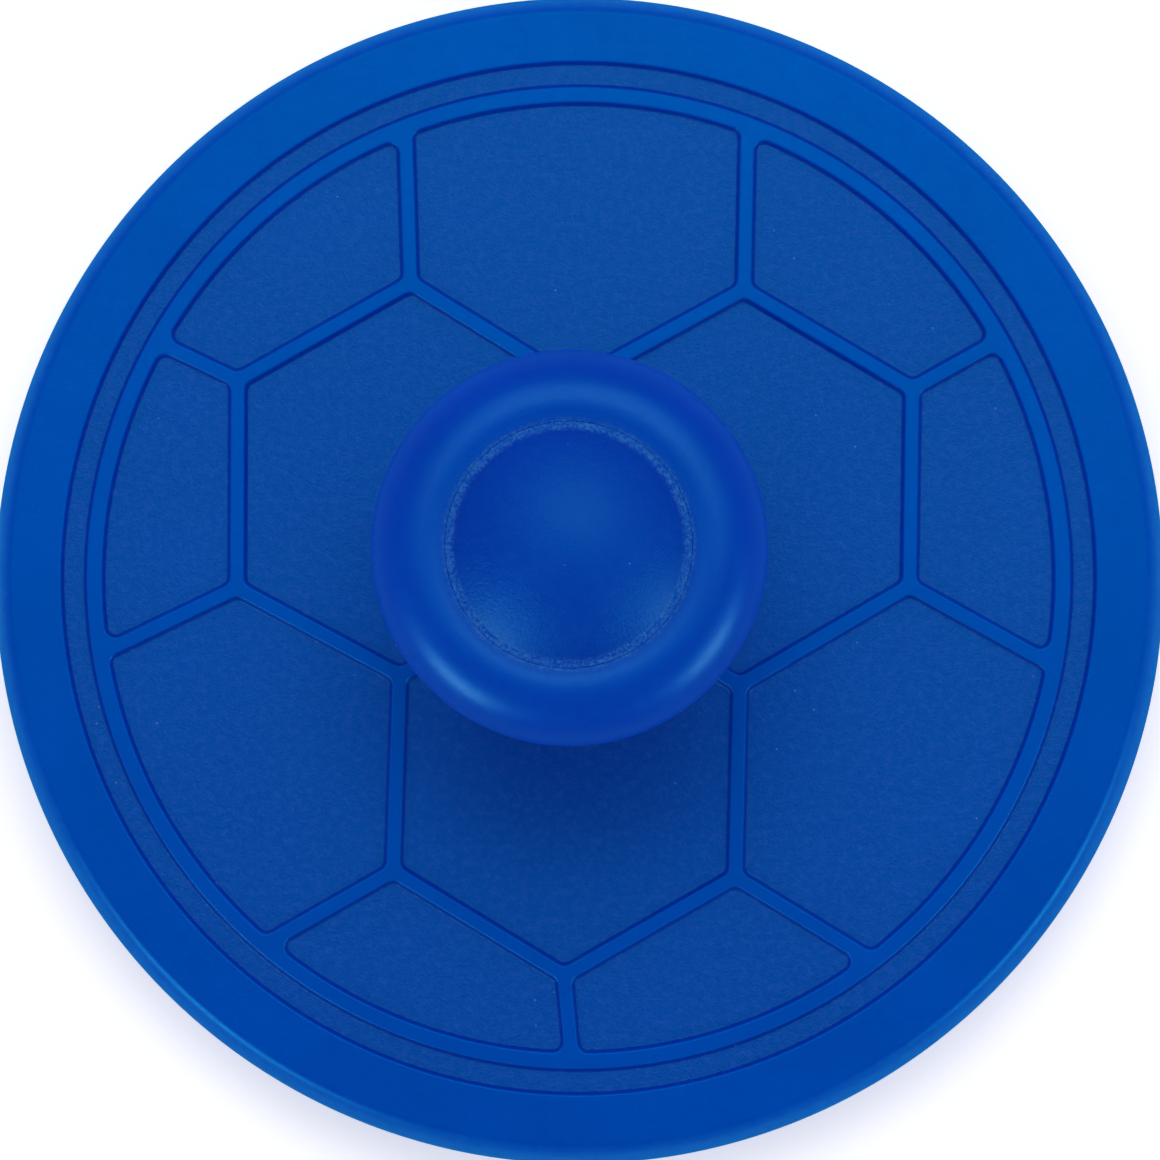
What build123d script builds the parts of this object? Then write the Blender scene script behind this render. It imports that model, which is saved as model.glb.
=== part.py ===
from build123d import *
import os
from math import sqrt

# Air hockey striker for a home table: a low ribbed disc on felt with a hollow stem, and a
# mushroom knob screwed on the stem, its screw hidden by a domed cap. Millimetres, +Z up, origin
# at the centre of the felt's underside.

# ---- Disc: outside and walls ----
DISC_RADIUS = 47.5
FACE_Z = 10.5            # the face: outer band, honeycomb ribs and ring stand at this height
SKIRT_BOTTOM_Z = 0.7     # the skirt's lower edge hangs clear of the table
RIM_WIDTH = 1.7          # the rim rounds over as a quarter of an ellipse, deeper than it is wide
RIM_DROP = 2.8
SKIRT_EDGE_ROUND = 0.7
TOP_WALL = 2.2
SKIRT_WALL = 2.4
LEDGE = 0.9              # step inside the skirt that the base plate seats against
ROOF_Z = FACE_Z - TOP_WALL
SKIRT_INNER_RADIUS = DISC_RADIUS - SKIRT_WALL
CAVITY_RADIUS = SKIRT_INNER_RADIUS - LEDGE

# ---- Felt, adhesive film and base plate, from the table up ----
FELT_RADIUS = 44.3
FELT_THICKNESS = 1.2
FILM_RADIUS = 43.9
FILM_THICKNESS = 0.15
PLATE_THICKNESS = 1.6
PLATE_CLEARANCE = 0.25
PLATE_BOTTOM_Z = FELT_THICKNESS + FILM_THICKNESS
PLATE_TOP_Z = PLATE_BOTTOM_Z + PLATE_THICKNESS

# ---- Honeycomb on the face ----
RIB_WIDTH = 1.3
PATTERN_DEPTH = 0.45
RING_INNER_RADIUS = 38.6
RING_OUTER_RADIUS = 39.75
GROOVE_OUTER_RADIUS = 41.9
PANEL_CORNER = 0.8
PAD_RADIUS = 13.2        # plain round pad that the stem stands on

# ---- Stem, moulded in one with the disc, heights above the face ----
STEM_FOOT_RADIUS = 10.8
STEM_FLARE = 2.2
STEM_TOP_RADIUS = 9.6
STEM_HEIGHT = 25.0
STEM_SEAT = 4.0          # straight length at the top that the knob sleeves over
STEM_FLOOR = 2.5
STEM_BORE_FOOT = 8.9
STEM_BORE_TOP = 7.3
SCREW_BOSS_RADIUS = 3.8
SCREW_BOSS_LENGTH = 15.0
PEG_COUNT = 2            # pegs on the stem's end that keep the knob from turning
PEG_CIRCLE = 7.0
PEG_RADIUS = 1.2
PEG_HEIGHT = 1.2
FIT_CLEARANCE = 0.1
STEM_TOP_Z = FACE_Z + STEM_HEIGHT

# ---- Stiffeners and pin sockets under the face ----
HUB_RADIUS = 10.8
STIFFENER_WALL = 1.2
STIFFENER_COUNT = 6
RING_STIFFENER_RADIUS = 24.0
PIN_COUNT = 6
PIN_CIRCLE = 34.0
PIN_RADIUS = 1.5
PIN_HEIGHT = 3.2
PIN_SOCKET_RADIUS = 3.0
PIN_CLEARANCE = 0.05
PIN_START_ANGLE = 30     # degrees, halfway between two stiffeners

# ---- Knob, heights above the face ----
HEAD_RADIUS = 15.0
HEAD_WIDEST = 31.0
CROWN_RADIUS = 10.8
CROWN_RISE = 3.2         # crown above the widest section
HEAD_DEPTH = 6.2         # full lower half of the head's section
HEAD_TUCK = 60.0         # degrees of that half before it runs into the collar
COLLAR_RADIUS = 11.5
COLLAR_EDGE = 0.5
VALLEY_DEPTH = 0.2
KNOB_FLOOR = 2.4
KNOB_BORE = 8.1
HEAD_CENTRE_Z = FACE_Z + HEAD_WIDEST
HEAD_HALF_WIDTH = HEAD_RADIUS - CROWN_RADIUS
CROWN_Z = HEAD_CENTRE_Z + CROWN_RISE
VALLEY_Z = CROWN_Z - VALLEY_DEPTH
COLLAR_BOTTOM_Z = STEM_TOP_Z - STEM_SEAT
KNOB_FLOOR_Z = STEM_TOP_Z + KNOB_FLOOR

# ---- Screw and washer, head up on the knob's floor ----
WASHER_RADIUS = 5.0
WASHER_BORE = 2.2
WASHER_THICKNESS = 0.8
SCREW_HEAD_RADIUS = 4.0
SCREW_HEAD_HEIGHT = 2.4
SCREW_HEAD_ROUND = 1.0
SCREW_DRIVE_SPAN = 4.6
SCREW_DRIVE_WIDTH = 0.9
SCREW_DRIVE_DEPTH = 1.5
SCREW_CREST_RADIUS = 2.0
SCREW_ROOT_RADIUS = 1.45
SCREW_LENGTH = 16.0
SCREW_PITCH = 1.6
SCREW_POINT = 2.4
CLEARANCE_BORE = 2.25
PILOT_BORE = 2.05
WASHER_TOP_Z = KNOB_FLOOR_Z + WASHER_THICKNESS

# ---- Domed cap in the top of the knob ----
CAP_RADIUS = 9.3
CAP_CLEARANCE = 0.06
CAP_LIP = 0.4
CAP_FLANGE = 1.6
DOME_SPHERE = 18.5
DOME_HOLLOW_RADIUS = 6.2
DOME_HOLLOW_RISE = 1.5
PLUG_CLEARANCE = 0.03
PLUG_WALL = 1.2
PLUG_LENGTH = 4.2
PLUG_SLOT = 1.6
PLUG_SLOT_COUNT = 4
CAP_BASE_Z = VALLEY_Z - CAP_FLANGE
CAP_EDGE_RADIUS = CAP_RADIUS - CAP_CLEARANCE
DOME_EDGE_RADIUS = CAP_EDGE_RADIUS - CAP_LIP
DOME_RISE = DOME_SPHERE - sqrt(DOME_SPHERE**2 - DOME_EDGE_RADIUS**2)
DOME_TOP_Z = VALLEY_Z + DOME_RISE

# Where the ribs' centre lines meet. The honeycomb is drawn by eye, a little uneven and askew.
RIB_CORNERS = {
    "core": (-0.5, -0.7),
    "crown": (-0.4, 15.6),
    "upper_left": (-13.6, 23.8),
    "upper_right": (13.5, 23.2),
    "left_top": (-27.6, 15.9),
    "right_top": (27.1, 15.1),
    "left_bottom": (-27.6, -1.0),
    "right_bottom": (26.8, -0.9),
    "inner_left": (-14.4, -8.1),
    "inner_right": (13.1, -8.9),
    "lower_left": (-14.9, -23.9),
    "lower_right": (12.7, -24.4),
    "foot": (-1.1, -32.3),
}

# Where the rib that leaves such a corner outwards meets the ring
RIB_ENDS = {
    "upper_left": (-14.0, 36.0),
    "upper_right": (13.8, 36.3),
    "left_top": (-33.9, 18.9),
    "right_top": (33.2, 18.5),
    "left_bottom": (-38.0, -6.0),
    "right_bottom": (38.3, -7.3),
    "lower_left": (-24.2, -29.2),
    "lower_right": (23.2, -30.8),
    "foot": (-0.5, -38.6),
}

# Panels between the ribs, by corners, counterclockwise: whole cells, then those the ring cuts
WHOLE_PANELS = [
    ("upper_left", "left_top", "left_bottom", "inner_left", "core", "crown"),
    ("upper_right", "crown", "core", "inner_right", "right_bottom", "right_top"),
    ("core", "inner_left", "lower_left", "foot", "lower_right", "inner_right"),
]
RING_PANELS = [
    ("upper_left", "crown", "upper_right"),
    ("upper_right", "right_top"),
    ("right_top", "right_bottom"),
    ("right_bottom", "inner_right", "lower_right"),
    ("lower_right", "foot"),
    ("foot", "lower_left"),
    ("lower_left", "inner_left", "left_bottom"),
    ("left_bottom", "left_top"),
    ("left_top", "upper_left"),
]


def past_ring(corner):
    """A point outside the ring on the rib that leaves this corner outwards."""
    (x, y), (end_x, end_y) = RIB_CORNERS[corner], RIB_ENDS[corner]
    return (2 * end_x - x, 2 * end_y - y)


def panel_outlines():
    """Rib centre lines round each panel, those at the ring reaching past it."""
    whole = [[RIB_CORNERS[name] for name in names] for names in WHOLE_PANELS]
    cut = [
        [past_ring(names[0]), *(RIB_CORNERS[name] for name in names), past_ring(names[-1])]
        for names in RING_PANELS
    ]
    return whole + cut


def thread_profile():
    """Edge of the screw's shank as parallel ridges, from under the head down to the point."""
    points = [(SCREW_ROOT_RADIUS, WASHER_TOP_Z)]
    for ridge in range(int((SCREW_LENGTH - SCREW_POINT) / SCREW_PITCH)):
        top = WASHER_TOP_Z - ridge * SCREW_PITCH
        points.append((SCREW_ROOT_RADIUS, top - 0.4 * SCREW_PITCH))
        points.append((SCREW_CREST_RADIUS, top - 0.7 * SCREW_PITCH))
        points.append((SCREW_ROOT_RADIUS, top - SCREW_PITCH))
    points.append((SCREW_ROOT_RADIUS, WASHER_TOP_Z - SCREW_LENGTH + SCREW_POINT))
    points.append((0, WASHER_TOP_Z - SCREW_LENGTH))
    return points


def write(piece, name):
    """Label one finished piece and write it as a STEP file."""
    piece.part.label = name
    export_step(piece.part, f"parts/{name}.step")


os.makedirs("parts", exist_ok=True)

# ---- Felt pad: the face that slides on the table ----
with BuildPart() as felt_pad:
    with BuildSketch(Plane.XY):
        Circle(FELT_RADIUS)
    extrude(amount=FELT_THICKNESS)
write(felt_pad, "felt_pad")

# ---- Adhesive film between the felt and the base plate ----
with BuildPart() as adhesive_film:
    with BuildSketch(Plane.XY.offset(FELT_THICKNESS)):
        Circle(FILM_RADIUS)
    extrude(amount=FILM_THICKNESS)
write(adhesive_film, "adhesive_film")

# ---- Base plate: flat disc with a ring of pins that press into the body's sockets ----
with BuildPart() as base_plate:
    with BuildSketch(Plane.XY.offset(PLATE_BOTTOM_Z)):
        Circle(SKIRT_INNER_RADIUS - PLATE_CLEARANCE)
    extrude(amount=PLATE_THICKNESS)
    with BuildSketch(Plane.XY.offset(PLATE_TOP_Z)):
        with PolarLocations(PIN_CIRCLE, PIN_COUNT, start_angle=PIN_START_ANGLE):
            Circle(PIN_RADIUS)
    extrude(amount=PIN_HEIGHT)
write(base_plate, "base_plate")

# ---- Striker body: face, rounded rim, skirt and hollow stem in one shell, ribbed both sides ----
with BuildPart() as striker_body:
    with BuildSketch(Plane.XZ):
        with BuildLine():
            rim = EllipticalCenterArc(
                (DISC_RADIUS - RIM_WIDTH, FACE_Z - RIM_DROP), RIM_WIDTH, RIM_DROP, arc_size=90
            )
            Polyline(
                rim @ 0,
                (DISC_RADIUS, SKIRT_BOTTOM_Z),
                (SKIRT_INNER_RADIUS, SKIRT_BOTTOM_Z),
                (SKIRT_INNER_RADIUS, PLATE_TOP_Z),
                (CAVITY_RADIUS, PLATE_TOP_Z),
                (CAVITY_RADIUS, ROOF_Z),
                (HUB_RADIUS, ROOF_Z),
                (HUB_RADIUS, PLATE_TOP_Z),
                (STEM_BORE_FOOT, PLATE_TOP_Z),
                (STEM_BORE_TOP, STEM_TOP_Z - STEM_FLOOR),
                (SCREW_BOSS_RADIUS, STEM_TOP_Z - STEM_FLOOR),
                (SCREW_BOSS_RADIUS, STEM_TOP_Z - SCREW_BOSS_LENGTH),
                (PILOT_BORE, STEM_TOP_Z - SCREW_BOSS_LENGTH),
                (PILOT_BORE, STEM_TOP_Z),
                (STEM_TOP_RADIUS, STEM_TOP_Z),
                (STEM_TOP_RADIUS, COLLAR_BOTTOM_Z),
                (STEM_FOOT_RADIUS, FACE_Z),
                rim @ 1,
            )
        make_face()
    revolve(axis=Axis.Z)
    face_edges = striker_body.edges().filter_by_position(Axis.Z, FACE_Z, FACE_Z)
    fillet(face_edges.sort_by(SortBy.RADIUS)[0], radius=STEM_FLARE)
    fillet(striker_body.edges().group_by(Axis.Z)[0], radius=SKIRT_EDGE_ROUND)

    # pegs on the stem's end
    with BuildSketch(Plane.XY.offset(STEM_TOP_Z)):
        with PolarLocations(PEG_CIRCLE, PEG_COUNT):
            Circle(PEG_RADIUS)
    extrude(amount=PEG_HEIGHT)

    # spokes, one ring and the pin sockets, all standing on the base plate
    with BuildSketch(Plane.XY.offset(PLATE_TOP_Z)):
        with PolarLocations(0, STIFFENER_COUNT):
            Rectangle(CAVITY_RADIUS + LEDGE / 2, STIFFENER_WALL, align=(Align.MIN, Align.CENTER))
        Circle(HUB_RADIUS, mode=Mode.SUBTRACT)
        with PolarLocations(PIN_CIRCLE, PIN_COUNT, start_angle=PIN_START_ANGLE):
            Circle(PIN_SOCKET_RADIUS)
        with PolarLocations(PIN_CIRCLE, PIN_COUNT, start_angle=PIN_START_ANGLE):
            Circle(PIN_RADIUS + PIN_CLEARANCE, mode=Mode.SUBTRACT)
    extrude(amount=ROOF_Z - PLATE_TOP_Z)
    with BuildSketch(Plane.XY.offset(PLATE_TOP_Z)):
        Circle(RING_STIFFENER_RADIUS + STIFFENER_WALL / 2)
        Circle(RING_STIFFENER_RADIUS - STIFFENER_WALL / 2, mode=Mode.SUBTRACT)
    extrude(amount=ROOF_Z - PLATE_TOP_Z)

    # honeycomb panels, sunk between the ribs
    for outline in panel_outlines():
        with BuildSketch(Plane.XY.offset(FACE_Z)) as panel:
            with BuildLine():
                Polyline(*outline, close=True)
            make_face()
            offset(amount=-RIB_WIDTH / 2, kind=Kind.INTERSECTION)
            Circle(RING_INNER_RADIUS, mode=Mode.INTERSECT)
            fillet(panel.vertices(), radius=PANEL_CORNER)
            Circle(PAD_RADIUS, mode=Mode.SUBTRACT)
        extrude(amount=-PATTERN_DEPTH, mode=Mode.SUBTRACT)

    # groove outside the ring
    with BuildSketch(Plane.XY.offset(FACE_Z)):
        Circle(GROOVE_OUTER_RADIUS)
        Circle(RING_OUTER_RADIUS, mode=Mode.SUBTRACT)
    extrude(amount=-PATTERN_DEPTH, mode=Mode.SUBTRACT)
write(striker_body, "striker_body")

# ---- Knob: mushroom head with a collar that sleeves over the stem, and a bore for the cap ----
with BuildPart() as knob:
    with BuildSketch(Plane.XZ):
        with BuildLine():
            shoulder = EllipticalCenterArc(
                (CROWN_RADIUS, HEAD_CENTRE_Z), HEAD_HALF_WIDTH, CROWN_RISE, arc_size=90
            )
            underside = EllipticalCenterArc(
                (CROWN_RADIUS, HEAD_CENTRE_Z), HEAD_HALF_WIDTH, HEAD_DEPTH, arc_size=-HEAD_TUCK
            )
            TangentArc(shoulder @ 1, (CAP_RADIUS, VALLEY_Z), tangent=(-1, 0))
            collar = Spline(
                underside @ 1,
                (COLLAR_RADIUS, COLLAR_BOTTOM_Z + COLLAR_EDGE),
                tangents=(underside % 1, (0, -1)),
            )
            Polyline(
                collar @ 1,
                (COLLAR_RADIUS - COLLAR_EDGE, COLLAR_BOTTOM_Z),
                (STEM_TOP_RADIUS + FIT_CLEARANCE, COLLAR_BOTTOM_Z),
                (STEM_TOP_RADIUS + FIT_CLEARANCE, STEM_TOP_Z),
                (CLEARANCE_BORE, STEM_TOP_Z),
                (CLEARANCE_BORE, KNOB_FLOOR_Z),
                (KNOB_BORE, KNOB_FLOOR_Z),
                (KNOB_BORE, CAP_BASE_Z),
                (CAP_RADIUS, CAP_BASE_Z),
                (CAP_RADIUS, VALLEY_Z),
            )
        make_face()
    revolve(axis=Axis.Z)

    # holes in the floor for the stem's pegs
    with BuildSketch(Plane.XY.offset(STEM_TOP_Z)):
        with PolarLocations(PEG_CIRCLE, PEG_COUNT):
            Circle(PEG_RADIUS + FIT_CLEARANCE)
    extrude(amount=PEG_HEIGHT + FIT_CLEARANCE, mode=Mode.SUBTRACT)
write(knob, "knob")

# ---- Washer under the screw's head ----
with BuildPart() as washer:
    with BuildSketch(Plane.XY.offset(KNOB_FLOOR_Z)):
        Circle(WASHER_RADIUS)
        Circle(WASHER_BORE, mode=Mode.SUBTRACT)
    extrude(amount=WASHER_THICKNESS)
write(washer, "washer")

# ---- Self-tapping screw: pan head with a cross recess, point down in the stem's boss ----
with BuildPart() as screw:
    with BuildSketch(Plane.XY.offset(WASHER_TOP_Z)):
        Circle(SCREW_HEAD_RADIUS)
    extrude(amount=SCREW_HEAD_HEIGHT)
    fillet(screw.edges().group_by(Axis.Z)[-1], radius=SCREW_HEAD_ROUND)
    with BuildSketch(Plane.XY.offset(WASHER_TOP_Z + SCREW_HEAD_HEIGHT)):
        Rectangle(SCREW_DRIVE_SPAN, SCREW_DRIVE_WIDTH)
        Rectangle(SCREW_DRIVE_WIDTH, SCREW_DRIVE_SPAN)
    extrude(amount=-SCREW_DRIVE_DEPTH, mode=Mode.SUBTRACT)
    with BuildSketch(Plane.XZ):
        with BuildLine():
            Polyline((0, WASHER_TOP_Z), *thread_profile(), close=True)
        make_face()
    revolve(axis=Axis.Z)
write(screw, "screw")

# ---- Cap: domed button with a slotted plug that grips the knob's bore ----
with BuildPart() as knob_cap:
    with BuildSketch(Plane.XZ):
        with BuildLine():
            Polyline(
                (DOME_EDGE_RADIUS, VALLEY_Z),
                (CAP_EDGE_RADIUS, VALLEY_Z),
                (CAP_EDGE_RADIUS, CAP_BASE_Z),
                (DOME_HOLLOW_RADIUS, CAP_BASE_Z),
            )
            TangentArc(
                (0, CAP_BASE_Z + DOME_HOLLOW_RISE), (DOME_HOLLOW_RADIUS, CAP_BASE_Z), tangent=(1, 0)
            )
            Line((0, CAP_BASE_Z + DOME_HOLLOW_RISE), (0, DOME_TOP_Z))
            TangentArc((0, DOME_TOP_Z), (DOME_EDGE_RADIUS, VALLEY_Z), tangent=(1, 0))
        make_face()
    revolve(axis=Axis.Z)
    with BuildSketch(Plane.XY.offset(CAP_BASE_Z)):
        Circle(KNOB_BORE - PLUG_CLEARANCE)
        Circle(KNOB_BORE - PLUG_CLEARANCE - PLUG_WALL, mode=Mode.SUBTRACT)
        with PolarLocations(0, PLUG_SLOT_COUNT):
            Rectangle(CAP_RADIUS, PLUG_SLOT, align=(Align.MIN, Align.CENTER), mode=Mode.SUBTRACT)
    extrude(amount=-PLUG_LENGTH)
write(knob_cap, "knob_cap")

print("overall height", round(DOME_TOP_Z, 2))
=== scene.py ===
import math
from math import atan2, ceil, cos, degrees, pi, radians, sin

import bpy
import numpy as np
from mathutils import Matrix, Vector, noise
from mathutils.geometry import delaunay_2d_cdt


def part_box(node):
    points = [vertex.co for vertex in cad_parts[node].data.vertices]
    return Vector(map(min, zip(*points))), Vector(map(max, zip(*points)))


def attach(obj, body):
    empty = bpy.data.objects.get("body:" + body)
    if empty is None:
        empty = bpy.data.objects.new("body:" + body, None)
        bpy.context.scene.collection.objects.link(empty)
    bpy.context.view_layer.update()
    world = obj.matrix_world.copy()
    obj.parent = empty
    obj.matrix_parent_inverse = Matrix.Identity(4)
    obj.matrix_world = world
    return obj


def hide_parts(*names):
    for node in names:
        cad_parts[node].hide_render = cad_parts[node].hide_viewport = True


# Air hockey striker: fine meshes and moulded-plastic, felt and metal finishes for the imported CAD
# parts. Metres, +Z up, origin at the centre of the felt's underside, as in the CAD model.

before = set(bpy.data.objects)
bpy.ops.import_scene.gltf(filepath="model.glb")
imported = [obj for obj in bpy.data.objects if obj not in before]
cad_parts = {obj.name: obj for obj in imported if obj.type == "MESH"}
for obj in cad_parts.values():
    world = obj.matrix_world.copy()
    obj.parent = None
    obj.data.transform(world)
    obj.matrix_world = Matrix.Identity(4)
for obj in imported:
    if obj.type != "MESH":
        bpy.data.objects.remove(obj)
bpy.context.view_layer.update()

MM = 0.001
SEGMENTS = 288           # around the disc, stem, knob and cap
SMALL_SEGMENTS = 48      # around pins, pegs and sockets
RIM_STEPS = 16           # runs along each curve of a cross-section
COVE_STEPS = 18
UNDERSIDE_STEPS = 16
SHOULDER_STEPS = 24
CROWN_STEPS = 12
ARCH_STEPS = 12
DOME_STEPS = 32
ARC_STEP = 12            # degrees between points on a rounded corner
RING_STEP = 1.25         # degrees between points on a panel's side along the ring
STRAIGHT = 0.5           # a corner that turns by fewer degrees than this isn't rounded
SAME_POINT = 0.002 * MM  # ends of paths nearer than this are one point
CLOSE = 1e-6             # how nearly equal two lengths or places along a run are
TOUCHING = 1e-8
ON_AXIS = 1e-9
WEAR_AND_LIGHT_ON_CORNERS = 0.45   # the most wear and painted highlight on a rounded corner, which tighter corners have
WEAR_AND_LIGHT_CORNER_SIZE = 0.6 * MM
SMALL_ROUND = 0.2 * MM   # on corners that the picture doesn't show
MIDDLE_ROUND = 0.3 * MM
LARGE_ROUND = 0.4 * MM
LARGEST_ROUND = 0.5 * MM

# ---- Levels and outer sizes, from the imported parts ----
body_low, body_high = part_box("striker_body")
plate_low, plate_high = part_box("base_plate")
felt_low, felt_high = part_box("felt_pad")
film_low, film_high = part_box("adhesive_film")
knob_low, knob_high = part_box("knob")
cap_low, cap_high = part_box("knob_cap")
washer_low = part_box("washer")[0]

DISC_RADIUS = min(body_high.x, body_high.y)
SKIRT_BOTTOM = body_low.z
PEG_HEIGHT = 1.2 * MM
STEM_TOP = body_high.z - PEG_HEIGHT
STEM_HEIGHT = 25.0 * MM
FACE = STEM_TOP - STEM_HEIGHT
PIN_HEIGHT = 3.2 * MM
PLATE_TOP = plate_high.z - PIN_HEIGHT
COLLAR_BOTTOM = knob_low.z
KNOB_FLOOR = washer_low.z

# ---- Disc ----
RIM_WIDTH = 1.7 * MM
RIM_DROP = 2.8 * MM
RIM_PAINTED_LIGHT = 1.0               # how pale the painted light makes the rim
RIM_PAINTED_LIGHT_RISE = 2.0          # at 2 it is palest from halfway round, from the face down
RIM_PAINTED_LIGHT_END = 1.2 * MM      # the paleness fades out this far down the skirt
SKIRT_EDGE_ROUND = 0.7 * MM
ROOF = FACE - 2.2 * MM
SKIRT_INNER = 45.1 * MM
CAVITY_RADIUS = 44.2 * MM
PATTERN_DEPTH = 0.45 * MM
FLANK_SPREAD = 0.14 * MM     # a rib is narrower at its top and wider at its foot by this each side
FLANK_TOP_ROUND = 0.2 * MM
FLANK_FOOT_ROUND = 0.16 * MM
RIB_WIDTH = 1.3 * MM
RING_INNER = 38.45 * MM
RING_OUTER = 39.9 * MM
GROOVE_OUTER = 41.8 * MM
PANEL_CORNER = 0.8 * MM
PAD_RADIUS = 13.2 * MM       # the plain round pad that the stem stands on

# ---- Stem ----
STEM_FOOT_RADIUS = 10.8 * MM
STEM_FLARE = 2.2 * MM
STEM_TOP_RADIUS = 9.6 * MM
STEM_BORE_FOOT = 8.9 * MM
STEM_BORE_TOP = 7.3 * MM
STEM_FLOOR = 2.5 * MM
BOSS_RADIUS = 3.8 * MM
BOSS_LENGTH = 15.0 * MM
PILOT_BORE = 2.05 * MM
PEG_CIRCLE = 7.0 * MM
PEG_RADIUS = 1.2 * MM
PEG_CLEARANCE = 0.1 * MM

# ---- Stiffeners, sockets and pins ----
HUB_RADIUS = 10.8 * MM
SPOKE_COUNT = 6
SPOKE_WIDTH = 1.2 * MM
RING_STIFFENER = 24.0 * MM
POCKET_CORNER = 0.6 * MM
PIN_CIRCLE = 34.0 * MM
PIN_START_ANGLE = 30
PIN_RADIUS = 1.5 * MM
PIN_CLEARANCE = 0.05 * MM
SOCKET_RADIUS = 3.0 * MM
PIN_ROOT_ROUND = 0.03 * MM

# ---- Knob ----
HEAD_CENTRE = FACE + 31.0 * MM
CROWN_RADIUS = 10.8 * MM
CROWN_RISE = 3.2 * MM
HEAD_HALF_WIDTH = min(knob_high.x, knob_high.y) - CROWN_RADIUS
HEAD_DEPTH = 6.2 * MM
HEAD_TUCK = 60
COLLAR_RADIUS = 11.5 * MM
COLLAR_EDGE = 0.5 * MM
CROWN_TOP = HEAD_CENTRE + CROWN_RISE
VALLEY = CROWN_TOP - 0.2 * MM
SLEEVE_RADIUS = 9.7 * MM
CROWN_STOP = 0.35 * MM       # the crown's curve stops this far outside the cap's seat
KNOB_BORE = 8.1 * MM
CLEARANCE_BORE = 2.25 * MM
CAP_SEAT_RADIUS = 9.3 * MM
SEAM_MATTE_AND_HIGHLIGHT = 2.0             # texture is 0 on polished faces, 1 on matte ones and 2 beside the seam, which also gets a painted highlight
SEAM_BAND = 10.0 * MM        # the matte band with its painted highlight beside the cap's seam ends here, over SEAM_FADE
SEAM_FADE = 0.6 * MM
SEAM_ROUND = 0.05 * MM

# ---- Cap ----
CAP_EDGE = 9.285 * MM
CAP_LIP = 0.4 * MM
CAP_BASE = VALLEY - 1.6 * MM
DOME_SPHERE = 18.5 * MM
DOME_TOP = cap_high.z
DOME_EDGE = CAP_EDGE - CAP_LIP
DOME_FILLET = 0.7 * MM
LIP_ROUND = 0.05 * MM
HOLLOW_RADIUS = 6.2 * MM
HOLLOW_RISE = 1.5 * MM
PLUG_OUTER = 8.07 * MM
PLUG_INNER = 6.87 * MM
PLUG_SLOT = 1.6 * MM
PLUG_BOTTOM = cap_low.z
PLUG_COUNT = 4
PLUG_CORNER = 0.3 * MM

# ---- Plastic's texture ----
CLOUD_SPREAD = (0.06, 0.04)  # how far slow clouds move the pigment's green and blue either way
SUNK_SHADE_DEEP = 0.56       # how far painted shade takes a sunk face's pigment to its darker tone, at most
SUNK_SHADE_PALE = 0.38       # and at least
SUNK_SHADE_TONE = (0.55, 0.70)     # the painted shade's darker tone, as shares of the pigment's green and blue
SEAM_PAINTED_HIGHLIGHT = 0.85            # painted highlight: pale grains on the matte band around the cap
SEAM_PAINTED_HIGHLIGHT_COLOUR = (0.036, 0.125, 0.50)
PANEL_PAINTED_SHEEN = 0.80           # painted sheen: pale grains on sunk faces
PANEL_PAINTED_SHEEN_COLOUR = (0.010, 0.043, 0.43)
# pale edges: painted light on the rim's rounding; wear with a painted highlight on rounded corners
EDGE_WEAR_AND_LIGHT = 0.85
EDGE_WEAR_AND_LIGHT_COLOUR = (0.0, 0.125, 0.60)
WEAR_ROUGHENS = 0.04
ROUGH_MOTTLE = 0.05
SPECK_COLOUR = (0.12, 0.22, 0.58)
SPECKS_SUNK = 0.45           # how much more dust shows on sunk faces than on polished ones
SPECKS_SMOOTH = 0.12
SMOOTH_TINT = (0.0, 0.60, 1.0)    # the tint of reflections seen straight on
MATTE_TINT = (0.05, 0.72, 1.0)
TEXTURE_FINE = 0.4           # share of the finest grain in the texture
TEXTURE_SMOOTH = 0.13        # depth of the mould's grain on polished faces, in tenths of a millimetre
TEXTURE_SUNK = 0.3           # and how much deeper it is on sunk ones
TEXTURE_REACH = 0.0001       # a tenth of a millimetre
WAVE_REACH = 0.00006
PLASTIC_IOR = 1.49
PLASTIC_SPECULAR = 0.64
PLASTIC_COAT_ROUGHNESS = 0.24
LIGHT_INSIDE = 0.12          # share of the light that scatters inside the plastic, and how far it goes
LIGHT_REACH = 0.0012
LIGHT_REACH_BY_COLOUR = (0.2, 0.5, 1.0)

# ---- Other finishes' colours ----
FELT_DARK = (0.47, 0.46, 0.43)
FELT_PALE = (0.72, 0.71, 0.68)
FELT_DUST = (0.40, 0.40, 0.42)
FILM_DARK = (0.62, 0.58, 0.46)
FILM_PALE = (0.74, 0.71, 0.6)
ZINC_BRIGHT = (0.66, 0.67, 0.69)
ZINC_DULL = (0.50, 0.52, 0.55)
FLOOR_DARK = (0.86, 0.86, 0.86)
FLOOR_PALE = (0.9, 0.9, 0.9)
WHITE = (1.0, 1.0, 1.0)
MIX_A, MIX_B, MIX_RESULT = 6, 7, 2    # a Mix node's sockets for colours
MM_PER_METRE = 1000

# ---- Felt ----
FELT_RINGS = 60
FELT_SEGMENTS = 360
FELT_RELIEF = 0.08 * MM
FELT_FRAY = 0.05 * MM
FELT_TUFT = 2.5 * MM
FELT_LAYER = 3.7             # the slice of the noise that the tufts come from
FELT_EDGE_LEVELS = (0.08, 0.3, 0.6, 0.88)    # loops up its edge, as shares of its thickness
FRAY_AROUND = 30
FRAY_UP = 9

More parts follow.
